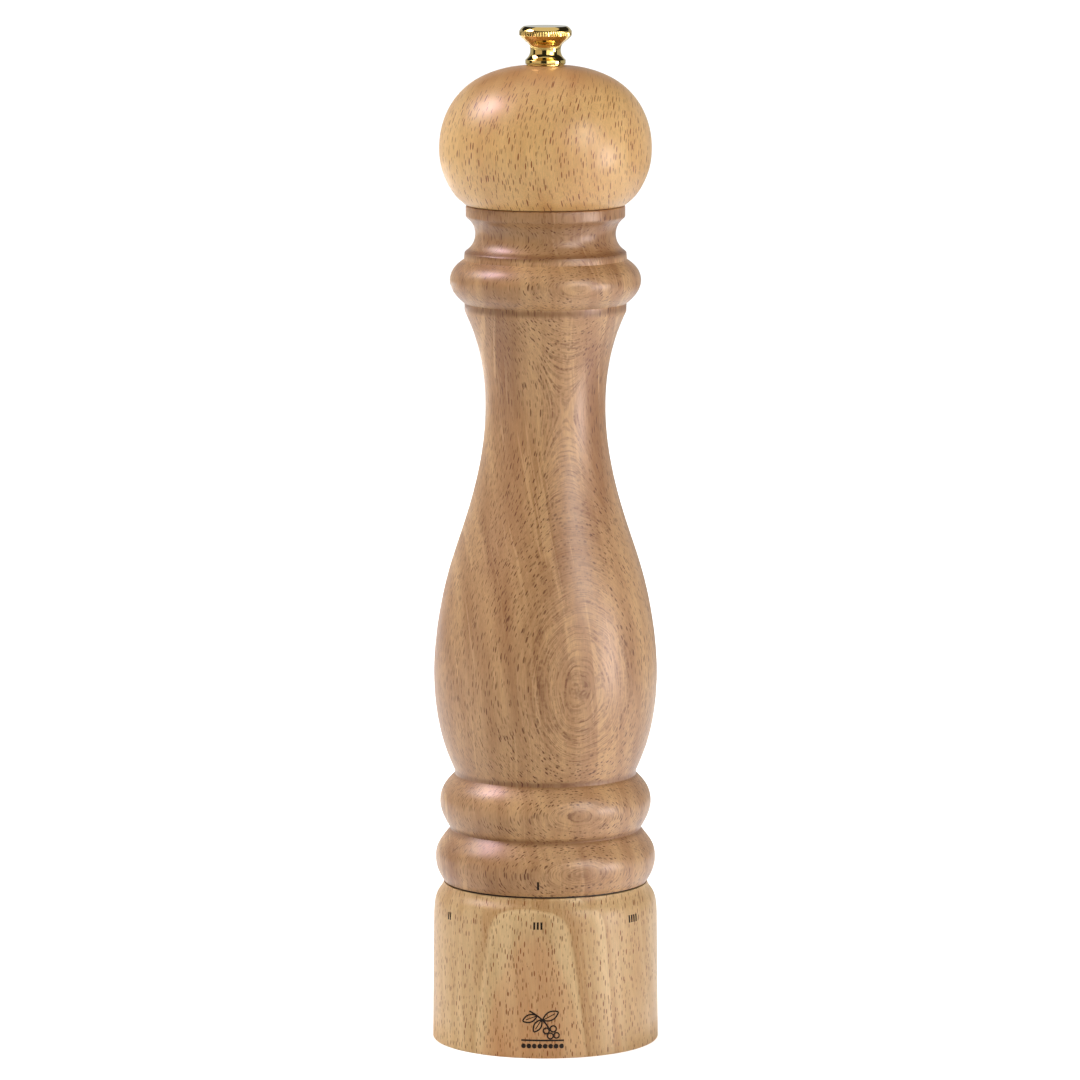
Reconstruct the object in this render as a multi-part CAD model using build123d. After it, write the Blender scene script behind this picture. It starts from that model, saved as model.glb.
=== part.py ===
from build123d import *
import math
import os

# A turned beech pepper mill, 300 mm tall. The base is at z = 0, Z is the axis of turning,
# and the index stroke on the body faces -Y. Millimetres and degrees throughout.

os.makedirs("parts", exist_ok=True)

# ---------------------------------------------------------------- driving dimensions
TOTAL_HEIGHT = 300.0
BASE_R = 33.4            # adjusting ring at the table
RING_TOP_R = 30.1        # both sides of the seam between the ring and the body
RING_TOP_Z = 46.95
BODY_BOTTOM_Z = 47.45
BODY_TOP_Z = 247.7
HEAD_BOTTOM_Z = 247.85
HEAD_TOP_Z = 288.5
COLLAR_R = 23.36         # body's collar under the head
NUT_BOTTOM_Z = 289.0      # brass knob on its washer

RUNNING_GAP = 0.05       # between faces that slide on each other
RESERVOIR_R = 12.5
RING_BORE_R = 26.6

SHAFT_SIDE = 6.0
SHAFT_SQUARE_TOP_Z = 280.0
SHAFT_TOP_Z = 296.8
THREAD_R = 2.5           # M5 crest
THREAD_PITCH = 0.8
THREAD_DEPTH = 0.45

SETTINGS = 6             # grind settings, fine to coarse
REST_SETTING = 3
SETTING_STEP = 55.0      # degrees of ring turn from one setting to the next
STATOR_LEAD = 2.0        # stator travel for one turn of the ring

MARK_DEPTH = 0.3
STROKE_WIDTH = 0.5
STROKE_PITCH = 1.05
RING_STROKE_HEIGHT = 2.2
RING_STROKE_Z = 39.4
INDEX_HEIGHT = 2.7
INDEX_Z = 51.05

HOUSING_R = 21.2         # outside of the housing's tube, which the sleeve turns on
HOUSING_BORE_R = 19.2
HOUSING_BOTTOM_Z = 18.0
HOUSING_TOP_Z = 55.4
WEB_THICKNESS = 3.2
BODY_RECESS_R = 21.4
SCREW_CIRCLE_R = 16.2

BRIDGE_THICKNESS = 2.2
BRIDGE_WIDTH = 11.0
BUSH_BORE_R = SHAFT_SIDE / math.sqrt(2) + 0.07

CONE_BOTTOM_Z = 12.4
CONE_TOP_Z = 35.6
CONE_BOTTOM_R = 13.4
CONE_TOP_R = 8.5
GRIND_GAP = 0.4          # radial gap between cone and stator at the rest setting
STATOR_BOTTOM_Z = 11.5
STATOR_TOP_Z = 29.0
STATOR_R = 17.5
CARRIER_R = 19.05

SLEEVE_BORE_R = HOUSING_R + 2 * RUNNING_GAP
SLEEVE_SHOULDER_Z = 29.55
SLEEVE_TOP_Z = 46.7
THREAD_RING_BOTTOM_Z = 8.0
THREAD_RING_TOP_Z = 14.0
THREAD_START_Z = 10.2    # where the carrier's thread begins, on the +X side

BALL_R = 1.5
BALL_CIRCLE_R = 24.6
BALL_Z = 47.85

PLATE_THICKNESS = 1.5
TENON_R = 14.5
TENON_BOTTOM_Z = 238.1
TENON_SEAT_R = TENON_R + 0.1
TENON_SEAT_Z = 235.5

BRIDGE_TOP_Z = HOUSING_TOP_Z - WEB_THICKNESS
BRIDGE_BOTTOM_Z = BRIDGE_TOP_Z - BRIDGE_THICKNESS
BUSH_FLANGE = 1.0
THRUST_Z = BRIDGE_TOP_Z + BUSH_FLANGE + RUNNING_GAP
CLIP_Z = THRUST_Z + 1.0
SPRING_WASHER_Z = BRIDGE_BOTTOM_Z - 2 * RUNNING_GAP - 1.0
CONE_SLOPE = (CONE_BOTTOM_R - CONE_TOP_R) / (CONE_TOP_Z - CONE_BOTTOM_Z)
CONE_ANGLE = math.degrees(math.atan(CONE_SLOPE))


# ---------------------------------------------------------------- helpers
def at(r, z):
    """Point of a turned outline, at radius r and height z."""
    return (r, 0, z)


def turned(*edges):
    """Solid of revolution about Z, from an outline in the XZ plane that the last line closes."""
    outline = list(edges)
    start = outline[0] @ 0
    end = outline[-1] @ 1
    if (end - start).length > 1e-6:
        outline.append(Line(end, start))
    return revolve(make_face(outline), axis=Axis.Z)


def band(inner_r, outer_r, low_z, high_z, edge=0.0):
    """Ring or disc between two radii and two heights, with its outer edges chamfered."""
    corners = [at(inner_r, low_z), at(outer_r - edge, low_z)]
    if edge:
        corners += [at(outer_r, low_z + edge), at(outer_r, high_z - edge)]
    corners += [at(outer_r - edge, high_z), at(inner_r, high_z)]
    return turned(Polyline(*corners))


def bar(width, depth, low_z, high_z):
    """Upright block, centred on the axis."""
    return Pos(0, 0, (low_z + high_z) / 2) * Box(width, depth, high_z - low_z)


def around(solid, count, first=0.0, step=None):
    """Copies of a solid, turned about Z."""
    step = 360.0 / count if step is None else step
    return [Rot(0, 0, first + i * step) * solid for i in range(count)]


def screw(x, head_z, tip_z, shank_r, head_r, head_height):
    """Cross-recessed screw at x. The head lies outside head_z, seen from the tip."""
    up = 1 if tip_z > head_z else -1
    head_end = head_z - up * head_height
    shank = Cylinder(shank_r, abs(tip_z - head_z))
    head = Cylinder(head_r, head_height)
    head = chamfer(head.edges().sort_by(Axis.Z)[0 if up > 0 else -1], 0.3 * head_height)
    solid = Pos(x, 0, (head_z + tip_z) / 2) * shank
    solid += Pos(x, 0, head_z - up * head_height / 2) * head
    slot = Box(1.3 * head_r, 0.3 * head_r, head_height)
    for turn in (0, 90):
        solid -= Pos(x, 0, head_end) * Rot(0, 0, turn) * slot
    return solid


def coil(mean_r, wire_r, low_z, high_z, turns):
    """Compression spring between two heights, its wire drawn as a slim twelve-sided bar."""
    rise = high_z - low_z - 2 * wire_r
    path = Helix(pitch=rise / turns, height=rise, radius=mean_r)
    wire = Plane(origin=path @ 0, z_dir=path % 0) * RegularPolygon(wire_r, 12)
    return Pos(0, 0, low_z + wire_r) * sweep(wire, path=path, is_frenet=True)


def ridge(root_r, crest_r, low_width, high_width, pitch, height):
    """Helical ridge of one right-hand thread, from z = 0 at its centre."""
    path = Helix(pitch=pitch, height=height, radius=root_r)
    corners = [
        (root_r, -low_width / 2),
        (crest_r, -high_width / 2),
        (crest_r, high_width / 2),
        (root_r, low_width / 2),
    ]
    section = Plane.XZ * Polygon(*corners, align=None)
    return sweep(section, path=path, is_frenet=True)


def wedge_grooves(count, radius, z, length, depth, lean, slope_angle, inward):
    """V cutters laid on a cone about Z, leaning from its rulings to make slanting teeth."""
    half = depth * 0.85
    tip = -depth if inward else depth
    mouth = 0.6 if inward else -0.6
    section = Polygon((tip, 0), (mouth, half * 1.5), (mouth, -half * 1.5), align=None)
    cutter = Pos(0, 0, -length / 2) * extrude(section, amount=length)
    placed = Pos(radius, 0, z) * Rot(0, -slope_angle, 0) * Rot(lean, 0, 0) * cutter
    return around(placed, count)


def settings():
    """Number of strokes of each setting, and its angle round the ring from the index."""
    return [(k, SETTING_STEP * (k - REST_SETTING)) for k in range(1, SETTINGS + 1)]


def stroke(angle, radius, z, height, slant=0.0):
    """Cutter for one upright stroke, at an angle round the axis from the front."""
    box = Box(4.0, STROKE_WIDTH, height)
    return Rot(0, 0, angle - 90) * Pos(radius + 2.0 - MARK_DEPTH, 0, z) * Rot(0, slant, 0) * box


# ---------------------------------------------------------------- turned wood
def make_head():
    ball = Spline(
        at(23.3, HEAD_BOTTOM_Z),
        at(25.75, 249.9),
        at(28.27, 253.4),
        at(30.75, 260.2),
        at(31.12, 264.2),
        at(30.32, 270.8),
        at(27.24, 277.8),
        at(22.0, 283.3),
        at(13.81, 287.2),
        at(10.2, 288.05),
        at(6.4, HEAD_TOP_Z),
    )
    solid = turned(
        Polyline(at(0, TENON_BOTTOM_Z), at(TENON_R - 0.8, TENON_BOTTOM_Z), at(TENON_R, TENON_BOTTOM_Z + 0.8)),
        Polyline(at(TENON_R, TENON_BOTTOM_Z + 0.8), at(TENON_R, HEAD_BOTTOM_Z), at(23.3, HEAD_BOTTOM_Z)),
        ball,
        Line(at(6.4, HEAD_TOP_Z), at(0, HEAD_TOP_Z)),
    )
    solid -= band(0, 4.5, TENON_BOTTOM_Z - 1, SHAFT_SQUARE_TOP_Z + 1.5)
    solid -= band(0, THREAD_R + 0.3, SHAFT_SQUARE_TOP_Z, HEAD_TOP_Z + 1)
    pilot = Pos(9.0, 0, TENON_BOTTOM_Z + 5.0) * Cylinder(1.3, 10.0)
    for hole in around(pilot, 3, first=30):
        solid -= hole
    return solid


def make_body():
    lower_bead = Spline(
        at(RING_TOP_R, BODY_BOTTOM_Z),
        at(31.12, 49.1),
        at(32.53, 54.3),
        at(32.0, 57.5),
        at(30.3, 60.3),
        at(28.2, 63.0),
    )
    second_bead = Spline(
        at(28.2, 63.2),
        at(30.23, 67.0),
        at(31.22, 71.4),
        at(29.9, 75.8),
        at(26.85, 79.3),
    )
    waist = Spline(
        at(26.8, 80.3),
        at(29.3, 86.4),
        at(31.69, 95.4),
        at(32.95, 108.5),
        at(31.86, 123.7),
        at(28.5, 139.9),
        at(23.4, 155.8),
        at(19.29, 171.9),
        at(17.65, 190.0),
        at(18.89, 202.1),
        at(22.04, 212.8),
        at(23.7, 216.6),
    )
    collar_bead = Spline(
        at(23.8, 219.0),
        at(26.4, 221.5),
        at(28.02, 226.0),
        at(26.78, 229.3),
        at(23.9, 231.8),
    )
    solid = turned(
        Line(at(RING_BORE_R - 0.1, BODY_BOTTOM_Z), at(RING_TOP_R, BODY_BOTTOM_Z)),
        lower_bead,
        Line(at(28.2, 63.0), at(28.2, 63.2)),
        second_bead,
        Line(at(26.85, 79.3), at(26.8, 80.3)),
        waist,
        Line(at(23.7, 216.6), at(23.8, 219.0)),
        collar_bead,
        Polyline(at(23.9, 231.8), at(23.72, 233.9), at(23.3, 234.3)),
        ThreePointArc(at(23.3, 234.3), at(20.6, 239.6), at(23.1, 244.1)),
        Polyline(at(23.1, 244.1), at(COLLAR_R, 244.5), at(COLLAR_R, BODY_TOP_Z - 0.35)),
        Polyline(at(COLLAR_R, BODY_TOP_Z - 0.35), at(COLLAR_R - 0.4, BODY_TOP_Z), at(0, BODY_TOP_Z)),
        Polyline(at(0, BODY_TOP_Z), at(0, BODY_BOTTOM_Z), at(RING_BORE_R - 0.1, BODY_BOTTOM_Z)),
    )
    solid -= band(0, RESERVOIR_R, BODY_BOTTOM_Z - 1, BODY_TOP_Z + 1)
    solid -= band(0, BODY_RECESS_R, BODY_BOTTOM_Z - 1, HOUSING_TOP_Z)
    solid -= band(0, TENON_SEAT_R, TENON_SEAT_Z, BODY_TOP_Z + 1)
    pilot = Pos(SCREW_CIRCLE_R, 0, HOUSING_TOP_Z + 6.5) * Cylinder(1.45, 13.0)
    for hole in around(pilot, 4, first=45):
        solid -= hole
    solid -= Pos(0, BALL_CIRCLE_R, BODY_BOTTOM_Z + 3.4) * Cylinder(BALL_R + 0.1, 6.8)
    solid -= stroke(0, 31.95, INDEX_Z, INDEX_HEIGHT, slant=20)
    return solid


def make_adjusting_ring():
    shoulder = Spline(
        at(33.1, 36.5),
        at(32.82, 40.8),
        at(31.89, 43.8),
        at(30.55, 45.8),
        at(RING_TOP_R, RING_TOP_Z),
        tangents=((0, 0, 1), (-0.2, 0, 1)),
    )
    solid = turned(
        Polyline(at(RING_BORE_R, 0.8), at(RING_BORE_R + 0.8, 0), at(BASE_R - 0.45, 0)),
        ThreePointArc(at(BASE_R - 0.45, 0), at(BASE_R - 0.13, 0.13), at(BASE_R, 0.45)),
        Line(at(BASE_R, 0.45), at(33.1, 36.5)),
        shoulder,
        Polyline(at(RING_TOP_R, RING_TOP_Z), at(RING_BORE_R, RING_TOP_Z), at(RING_BORE_R, 0.8)),
    )
    for count, angle in settings():
        for i in range(count):
            offset = (i - (count - 1) / 2) * STROKE_PITCH
            turn = angle + math.degrees(offset / 33.0)
            solid -= stroke(turn, 32.97, RING_STROKE_Z, RING_STROKE_HEIGHT)
    return solid


# ---------------------------------------------------------------- brass on the head
def make_nut_washer():
    return band(2.7, 5.6, HEAD_TOP_Z + RUNNING_GAP, NUT_BOTTOM_Z - RUNNING_GAP)


def make_head_nut():
    flange_top_z = 290.2
    rim_low_z = 297.4
    rim_high_z = 298.6
    rim_r = 7.67
    bore_r = THREAD_R + RUNNING_GAP
    solid = turned(
        Polyline(at(bore_r, NUT_BOTTOM_Z), at(5.77, NUT_BOTTOM_Z), at(5.92, NUT_BOTTOM_Z + 0.15)),
        Line(at(5.92, NUT_BOTTOM_Z + 0.15), at(5.92, flange_top_z)),
        Spline(at(5.92, flange_top_z), at(4.93, 291.3), at(4.48, 293.1), at(4.85, 294.6), at(5.9, 295.6)),
        Polyline(at(5.9, 295.6), at(6.95, 296.5), at(rim_r, rim_low_z), at(rim_r, rim_high_z)),
        ThreePointArc(at(rim_r, rim_high_z), at(7.12, 299.4), at(6.35, TOTAL_HEIGHT)),
        Polyline(at(6.35, TOTAL_HEIGHT), at(0, TOTAL_HEIGHT), at(0, 297.5), at(bore_r, 297.5)),
        Line(at(bore_r, 297.5), at(bore_r, NUT_BOTTOM_Z)),
    )
    notch = Pos(rim_r, 0, (rim_low_z + rim_high_z) / 2) * Rot(0, 0, 45) * Box(0.3, 0.3, 1.1)
    return solid - around(notch, 60)


# ---------------------------------------------------------------- spindle
def make_drive_shaft():
    square_low_z = 14.2
    solid = bar(SHAFT_SIDE, SHAFT_SIDE, square_low_z, SHAFT_SQUARE_TOP_Z)
    solid &= band(0, SHAFT_SIDE / math.sqrt(2) - 0.05, 0, TOTAL_HEIGHT)
    solid -= band(SHAFT_SIDE / 2, SHAFT_SIDE, CLIP_Z, CLIP_Z + 1.0)
    solid += band(0, THREAD_R, 7.2, square_low_z, edge=0.4)
    rod = band(0, THREAD_R, SHAFT_SQUARE_TOP_Z - 1.0, SHAFT_TOP_Z, edge=0.5)
    groove = thread_groove(turns=19)
    return solid + (rod - Pos(0, 0, SHAFT_SQUARE_TOP_Z + 1.2) * groove)


def thread_groove(turns):
    """Helical V cutter of an M5 thread."""
    path = Helix(pitch=THREAD_PITCH, height=turns * THREAD_PITCH, radius=THREAD_R)
    half = 0.42 * THREAD_PITCH
    tip = THREAD_R - THREAD_DEPTH
    section = Plane.XZ * Polygon((tip, 0), (THREAD_R + 0.1, half), (THREAD_R + 0.1, -half), align=None)
    return sweep(section, path=path, is_frenet=True)


def make_grinding_cone():
    solid = turned(
        Polyline(
            at(0, CONE_BOTTOM_Z),
            at(CONE_BOTTOM_R - 0.6, CONE_BOTTOM_Z),
            at(CONE_BOTTOM_R - 0.05, CONE_BOTTOM_Z + 0.5),
            at(CONE_TOP_R + 0.15, CONE_TOP_Z - 0.8),
            at(CONE_TOP_R - 0.7, CONE_TOP_Z),
            at(0, CONE_TOP_Z),
        )
    )
    solid -= bar(SHAFT_SIDE + 0.1, SHAFT_SIDE + 0.1, 14.2, CONE_TOP_Z + 1)
    solid -= band(0, THREAD_R + 0.1, CONE_BOTTOM_Z - 1, 14.3)
    fine_r = CONE_BOTTOM_R - CONE_SLOPE * 4.6
    coarse_r = CONE_TOP_R + CONE_SLOPE * 7.0
    solid -= wedge_grooves(30, fine_r, CONE_BOTTOM_Z + 4.6, 12.0, 0.75, 14, CONE_ANGLE, True)
    solid -= wedge_grooves(7, coarse_r, CONE_TOP_Z - 6.0, 18.0, 2.3, 30, CONE_ANGLE, True)
    return solid


def make_cone_washer():
    return band(THREAD_R + RUNNING_GAP, 5.5, CONE_BOTTOM_Z - 1.0, CONE_BOTTOM_Z, edge=0.2)


def make_cone_nut():
    high_z = CONE_BOTTOM_Z - 1.0
    prism = extrude(RegularPolygon(4.0, 6, major_radius=False), amount=3.4)
    rounded = band(0, 4.55, high_z - 3.4, high_z, edge=0.4)
    return (Pos(0, 0, high_z - 3.4) * prism & rounded) - band(0, THREAD_R, 0, high_z + 1)


def make_spring_washer():
    return band(BUSH_BORE_R, 7.4, SPRING_WASHER_Z, SPRING_WASHER_Z + 1.0, edge=0.2)


def make_pressure_spring():
    return coil(6.2, 0.6, CONE_TOP_Z, SPRING_WASHER_Z, turns=5)


def make_thrust_washer():
    return band(BUSH_BORE_R, 6.4, THRUST_Z, THRUST_Z + 1.0, edge=0.2)


def make_shaft_circlip():
    solid = band(SHAFT_SIDE / 2, 5.9, CLIP_Z, CLIP_Z + 1.0)
    return solid - Pos(5, 0, CLIP_Z + 0.5) * Box(10, 4.6, 2)


# ---------------------------------------------------------------- under the head
def make_drive_plate():
    low_z = TENON_BOTTOM_Z - PLATE_THICKNESS
    solid = band(0, 13.2, low_z, TENON_BOTTOM_Z, edge=0.25)
    solid -= bar(SHAFT_SIDE + 0.2, SHAFT_SIDE + 0.2, low_z - 1, TENON_BOTTOM_Z + 1)
    hole = Pos(9.0, 0, TENON_BOTTOM_Z) * Cylinder(1.45, 6.0)
    return solid - around(hole, 3, first=30)


def make_drive_plate_screws():
    low_z = TENON_BOTTOM_Z - PLATE_THICKNESS
    return around(screw(9.0, low_z, TENON_BOTTOM_Z + 9.5, 1.3, 2.3, 1.2), 3, first=30)


# ---------------------------------------------------------------- fixed mechanism
def make_mechanism_housing():
    solid = turned(
        Polyline(
            at(HOUSING_BORE_R, HOUSING_BOTTOM_Z),
            at(HOUSING_R, HOUSING_BOTTOM_Z),
            at(HOUSING_R, HOUSING_TOP_Z),
            at(RESERVOIR_R, HOUSING_TOP_Z),
            at(RESERVOIR_R + WEB_THICKNESS * 0.3, BRIDGE_TOP_Z),
            at(HOUSING_BORE_R, BRIDGE_TOP_Z),
        )
    )
    solid -= band(20.4, HOUSING_R + 1, 27.9, 29.5)
    slot = Pos(HOUSING_R - 1, 0, HOUSING_BOTTOM_Z + 4) * Box(6.0, 4.3, 10.0)
    solid -= around(slot, 3, first=90)
    web_hole = Pos(SCREW_CIRCLE_R, 0, HOUSING_TOP_Z) * Cylinder(1.6, 8.0)
    solid -= around(web_hole, 4, first=45)
    tapped_hole = Pos(SCREW_CIRCLE_R, 0, BRIDGE_TOP_Z + 1.4) * Cylinder(1.5, 2.8)
    return solid - around(tapped_hole, 2)


def make_bridge():
    solid = bar(50, BRIDGE_WIDTH, BRIDGE_BOTTOM_Z, BRIDGE_TOP_Z)
    solid &= band(0, HOUSING_BORE_R - 0.2, 0, TOTAL_HEIGHT)
    solid -= band(0, 5.35, BRIDGE_BOTTOM_Z - 1, BRIDGE_TOP_Z + 1)
    hole = Pos(SCREW_CIRCLE_R, 0, BRIDGE_TOP_Z) * Cylinder(1.6, 8.0)
    return solid - around(hole, 2)


def make_bridge_screws():
    return around(screw(SCREW_CIRCLE_R, BRIDGE_BOTTOM_Z, BRIDGE_TOP_Z + 2.6, 1.5, 2.4, 1.5), 2)


def make_housing_screws():
    return around(screw(SCREW_CIRCLE_R, BRIDGE_TOP_Z, HOUSING_TOP_Z + 12.5, 1.4, 2.7, 1.5), 4, first=45)


def make_shaft_bush():
    return turned(
        Polyline(
            at(BUSH_BORE_R, BRIDGE_BOTTOM_Z),
            at(5.3, BRIDGE_BOTTOM_Z),
            at(5.3, BRIDGE_TOP_Z),
            at(6.6, BRIDGE_TOP_Z),
            at(6.6, BRIDGE_TOP_Z + BUSH_FLANGE),
            at(BUSH_BORE_R, BRIDGE_TOP_Z + BUSH_FLANGE),
        )
    )


def make_retaining_ring():
    solid = band(20.45, 23.0, 27.95, 29.45, edge=0.2)
    return solid - Rot(0, 0, 30) * Pos(22, 0, 28.7) * Box(8, 5, 4)


def make_glide_washer():
    return band(RING_BORE_R + 0.2, 29.3, RING_TOP_Z + RUNNING_GAP, BODY_BOTTOM_Z)


def make_detent_ball():
    return Pos(0, BALL_CIRCLE_R, BALL_Z) * Sphere(BALL_R)


def make_detent_spring():
    spring = coil(1.15, 0.22, BALL_Z + BALL_R + 0.02, BODY_BOTTOM_Z + 6.75, turns=5)
    return Pos(0, BALL_CIRCLE_R, 0) * spring


# ---------------------------------------------------------------- grind adjustment
def make_stator():
    solid = turned(
        Polyline(
            at(CONE_BOTTOM_R + GRIND_GAP + CONE_SLOPE * (CONE_BOTTOM_Z - STATOR_BOTTOM_Z), STATOR_BOTTOM_Z),
            at(STATOR_R, STATOR_BOTTOM_Z),
            at(STATOR_R, STATOR_TOP_Z),
            at(15.9, STATOR_TOP_Z),
            at(CONE_BOTTOM_R + GRIND_GAP - CONE_SLOPE * 9.1, CONE_BOTTOM_Z + 9.1),
        )
    )
    radius = CONE_BOTTOM_R + GRIND_GAP - CONE_SLOPE * 4.6
    solid -= wedge_grooves(36, radius, CONE_BOTTOM_Z + 4.6, 14.0, 0.7, -14, CONE_ANGLE, False)
    return solid


def make_stator_clip():
    solid = band(16.3, 18.0, STATOR_TOP_Z, STATOR_TOP_Z + 1.0)
    return solid - Rot(0, 0, -90) * Pos(17, 0, STATOR_TOP_Z) * Box(6, 6, 4)


def make_stator_carrier():
    solid = turned(
        Polyline(
            at(15.0, 9.4),
            at(CARRIER_R, 9.4),
            at(CARRIER_R, 31.0),
            at(STATOR_R, 31.0),
            at(STATOR_R, STATOR_BOTTOM_Z),
            at(15.0, STATOR_BOTTOM_Z),
        )
    )
    solid -= band(STATOR_R - 0.5, 18.1, STATOR_TOP_Z, STATOR_TOP_Z + 1.05)
    key = Pos(19.6, 0, 22.2) * Box(2.8, 4.0, 6.0)
    for part in around(key, 3, first=90):
        solid += part
    outer = ridge(CARRIER_R - 0.3, 20.15, 1.15, 0.7, STATOR_LEAD, 1.5 * STATOR_LEAD)
    return solid + Pos(0, 0, THREAD_START_Z) * outer


def make_ring_sleeve():
    solid = turned(
        Polyline(
            at(23.3, THREAD_RING_TOP_Z),
            at(RING_BORE_R, THREAD_RING_TOP_Z),
            at(RING_BORE_R, SLEEVE_TOP_Z),
            at(SLEEVE_BORE_R, SLEEVE_TOP_Z),
            at(SLEEVE_BORE_R, SLEEVE_SHOULDER_Z),
            at(23.3, SLEEVE_SHOULDER_Z),
        )
    )
    track_depth = 0.55
    solid -= band(BALL_CIRCLE_R - 1.1, BALL_CIRCLE_R + 1.1, SLEEVE_TOP_Z - track_depth, SLEEVE_TOP_Z + 1)
    dimple = Pos(BALL_CIRCLE_R, 0, SLEEVE_TOP_Z + 0.65) * Sphere(BALL_R + 0.2)
    solid -= around(dimple, SETTINGS, first=90 + SETTING_STEP * (1 - REST_SETTING), step=SETTING_STEP)
    tapped_hole = Pos(24.95, 0, THREAD_RING_TOP_Z + 3.0) * Cylinder(1.0, 6.0)
    return solid - around(tapped_hole, 3, first=60)


def make_thread_ring():
    bore_r = 19.25
    solid = band(bore_r, RING_BORE_R - 0.1, THREAD_RING_BOTTOM_Z, THREAD_RING_TOP_Z)
    groove = ridge(bore_r - 0.35, 20.35, 1.7, 1.05, STATOR_LEAD, 4 * STATOR_LEAD)
    start_turn = 20.0
    start_z = THREAD_START_Z + STATOR_LEAD * (start_turn / 360 - 2)
    solid -= Pos(0, 0, start_z) * Rot(0, 0, start_turn) * groove
    hole = Pos(24.95, 0, THREAD_RING_TOP_Z) * Cylinder(1.1, 20.0)
    seat = Pos(24.95, 0, THREAD_RING_BOTTOM_Z) * Cylinder(1.62, 2.6)
    return solid - (around(hole, 3, first=60) + around(seat, 3, first=60))


def make_thread_ring_screws():
    head_z = THREAD_RING_BOTTOM_Z + 1.3
    return around(screw(24.95, head_z, THREAD_RING_TOP_Z + 5.5, 0.95, 1.57, 1.2), 3, first=60)


# ---------------------------------------------------------------- one file per piece
MAKERS = {
    "body": make_body,
    "mechanism_housing": make_mechanism_housing,
    "housing_screws": make_housing_screws,
    "bridge": make_bridge,
    "bridge_screws": make_bridge_screws,
    "shaft_bush": make_shaft_bush,
    "retaining_ring": make_retaining_ring,
    "glide_washer": make_glide_washer,
    "detent_ball": make_detent_ball,
    "detent_spring": make_detent_spring,
    "drive_shaft": make_drive_shaft,
    "shaft_circlip": make_shaft_circlip,
    "thrust_washer": make_thrust_washer,
    "spring_washer": make_spring_washer,
    "pressure_spring": make_pressure_spring,
    "grinding_cone": make_grinding_cone,
    "cone_washer": make_cone_washer,
    "cone_nut": make_cone_nut,
    "head": make_head,
    "drive_plate": make_drive_plate,
    "drive_plate_screws": make_drive_plate_screws,
    "nut_washer": make_nut_washer,
    "head_nut": make_head_nut,
    "adjusting_ring": make_adjusting_ring,
    "ring_sleeve": make_ring_sleeve,
    "thread_ring": make_thread_ring,
    "thread_ring_screws": make_thread_ring_screws,
    "stator_carrier": make_stator_carrier,
    "stator": make_stator,
    "stator_clip": make_stator_clip,
}

for name, make in MAKERS.items():
    shape = make()
    if isinstance(shape, list):
        shape = Compound(children=shape)
    export_step(shape, f"parts/{name}.step")
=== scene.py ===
import math

import bmesh
import bpy
import numpy as np
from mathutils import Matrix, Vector


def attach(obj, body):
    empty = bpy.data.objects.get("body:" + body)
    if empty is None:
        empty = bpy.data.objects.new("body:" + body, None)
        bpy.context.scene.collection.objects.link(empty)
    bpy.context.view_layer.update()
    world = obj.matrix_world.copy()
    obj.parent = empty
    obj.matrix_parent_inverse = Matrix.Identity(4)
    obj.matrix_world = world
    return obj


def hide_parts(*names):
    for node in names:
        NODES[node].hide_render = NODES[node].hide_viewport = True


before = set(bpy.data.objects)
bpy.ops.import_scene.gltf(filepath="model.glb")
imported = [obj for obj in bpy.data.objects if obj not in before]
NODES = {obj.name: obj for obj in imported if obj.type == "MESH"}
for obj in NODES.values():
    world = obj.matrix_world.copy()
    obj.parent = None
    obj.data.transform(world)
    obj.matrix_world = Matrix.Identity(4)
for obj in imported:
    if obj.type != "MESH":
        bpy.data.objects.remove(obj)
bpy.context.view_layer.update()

MM = 0.001


# ---------------------------------------------------------------- turned outlines, in mm
def curve(points, spacing=0.7):
    """Smooth line through (r, z) points: a cubic spline that ends without curvature."""
    p = np.array(points, float)
    chord = np.hypot(*np.diff(p, axis=0).T)
    n = len(p)
    system = np.eye(n)
    right = np.zeros((n, 2))
    for i in range(1, n - 1):
        before, after = chord[i - 1], chord[i]
        system[i, i - 1 : i + 2] = before, 2 * (before + after), after
        right[i] = 6 * ((p[i + 1] - p[i]) / after - (p[i] - p[i - 1]) / before)
    bend = np.linalg.solve(system, right)
    line = []
    for i in range(n - 1):
        h = chord[i]
        steps = max(1, round(h / spacing))
        for s in np.arange(steps) * h / steps:
            a, b = h - s, s
            cubic = (bend[i] * a**3 + bend[i + 1] * b**3) / (6 * h)
            line.append(cubic + (p[i] / h - bend[i] * h / 6) * a + (p[i + 1] / h - bend[i + 1] * h / 6) * b)
    line.append(p[-1])
    return [tuple(q) for q in line]


def arc(start, middle, end, steps=14):
    """Circular arc through three (r, z) points."""
    (ax, ay), (bx, by), (cx, cy) = start, middle, end
    d = 2 * (ax * (by - cy) + bx * (cy - ay) + cx * (ay - by))
    a2, b2, c2 = ax * ax + ay * ay, bx * bx + by * by, cx * cx + cy * cy
    ox = (a2 * (by - cy) + b2 * (cy - ay) + c2 * (ay - by)) / d
    oy = (a2 * (cx - bx) + b2 * (ax - cx) + c2 * (bx - ax)) / d
    radius = math.hypot(ax - ox, ay - oy)
    first = math.atan2(ay - oy, ax - ox)
    via = (math.atan2(by - oy, bx - ox) - first) % (2 * math.pi)
    sweep = (math.atan2(cy - oy, cx - ox) - first) % (2 * math.pi)
    if via > sweep:
        sweep -= 2 * math.pi
    angles = [first + sweep * i / steps for i in range(steps + 1)]
    return [(ox + radius * math.cos(a), oy + radius * math.sin(a)) for a in angles]


def straight(start, end, spacing=1.2):
    """Line between two (r, z) points, divided so that a mark can be cut into it."""
    steps = max(1, round(math.dist(start, end) / spacing))
    return [tuple(np.array(start) + (np.array(end) - start) * i / steps) for i in range(steps + 1)]


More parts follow.
